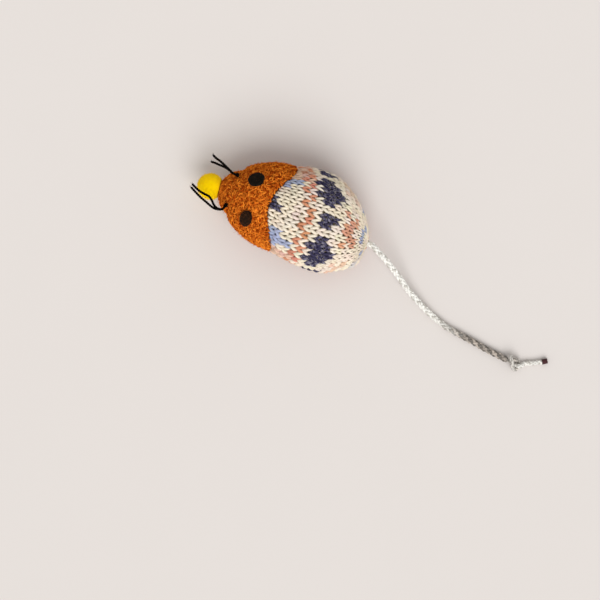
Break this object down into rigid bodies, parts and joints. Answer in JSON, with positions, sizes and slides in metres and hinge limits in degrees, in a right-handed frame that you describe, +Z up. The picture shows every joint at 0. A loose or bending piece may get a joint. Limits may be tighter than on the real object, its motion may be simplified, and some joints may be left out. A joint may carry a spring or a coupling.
{
  "type": "catnip mouse toy",
  "caption": "Small stuffed cat toy mouse with a fair-isle knit back, brown looped head and belly, felt eyes, pompom nose, thread whiskers and a knotted cord tail.",
  "frame": {"origin": "on the floor, on the flat that the belly rests on, under the widest section of the body", "axes": "+X towards the nose, +Y to the left of the mouse, +Z up"},
  "size_m": [0.1433, 0.043, 0.0306],
  "materials": {
    "knit_cover": "soft stockinette knit in cream with a fair-isle pattern in navy, salmon and light blue",
    "brown_cover": "fuzzy looped knit",
    "fibre_fill": "loose polyester fibre",
    "catnip": "dried crumbled leaf",
    "seam_thread": "sewing thread",
    "felt": "matte felt",
    "pompom_yarn": "fuzzy pile",
    "black_thread": "twisted thread",
    "tail_cord": "braided cord with a slight sheen"
  },
  "bodies": {
    "mouse": {"back_panel": "knit_cover", "belly_panel": "brown_cover", "head_panel": "brown_cover", "fibre_fill_upper": "fibre_fill", "fibre_fill_lower": "fibre_fill", "catnip_wad": "catnip", "neck_seam_thread": "seam_thread", "flank_seam_thread_left": "seam_thread", "flank_seam_thread_right": "seam_thread", "eye_left": "felt", "eye_right": "felt", "nose_tie_thread": "black_thread", "whisker_cross_thread": "black_thread", "whisker_knot_left": "black_thread", "whisker_knot_right": "black_thread", "tail_anchor": "tail_cord"},
    "nose": {"nose_pompom": "pompom_yarn"},
    "whiskers_left": {"whisker_left_upper": "black_thread", "whisker_left_lower": "black_thread"},
    "whiskers_right": {"whisker_right_upper": "black_thread", "whisker_right_lower": "black_thread"},
    "tail_base": {"tail_stub": "tail_cord"},
    "tail": {"tail_cord": "tail_cord", "tail_knot": "tail_cord"}
  },
  "joints": [
    {"name": "nose_sway", "type": "hinge", "parent": "mouse", "child": "nose", "pos_m": [0.0374, 0, 0.0114], "axis": [0, 0, 1], "range_deg": [-15, 15], "stiffness_Nm_per_rad": 0.00015},
    {"name": "whiskers_left_sweep", "type": "hinge", "parent": "mouse", "child": "whiskers_left", "pos_m": [0.0323, 0.00576, 0.01945], "axis": [0, 0, 1], "range_deg": [-10, 60], "stiffness_Nm_per_rad": 0.00002},
    {"name": "whiskers_right_sweep", "type": "hinge", "parent": "mouse", "child": "whiskers_right", "pos_m": [0.03231, -0.00581, 0.01944], "axis": [0, 0, -1], "range_deg": [-10, 60], "stiffness_Nm_per_rad": 0.00002},
    {"name": "tail_swing", "type": "hinge", "parent": "mouse", "child": "tail_base", "pos_m": [-0.0213, 0, 0.0114], "axis": [0, 0, 1], "range_deg": [-20, 75]},
    {"name": "tail_lift", "type": "hinge", "parent": "tail_base", "child": "tail", "pos_m": [-0.02625, 0.00219, 0.01107], "axis": [0.43, 0.9028, 0], "range_deg": [0, 50]}
  ]
}
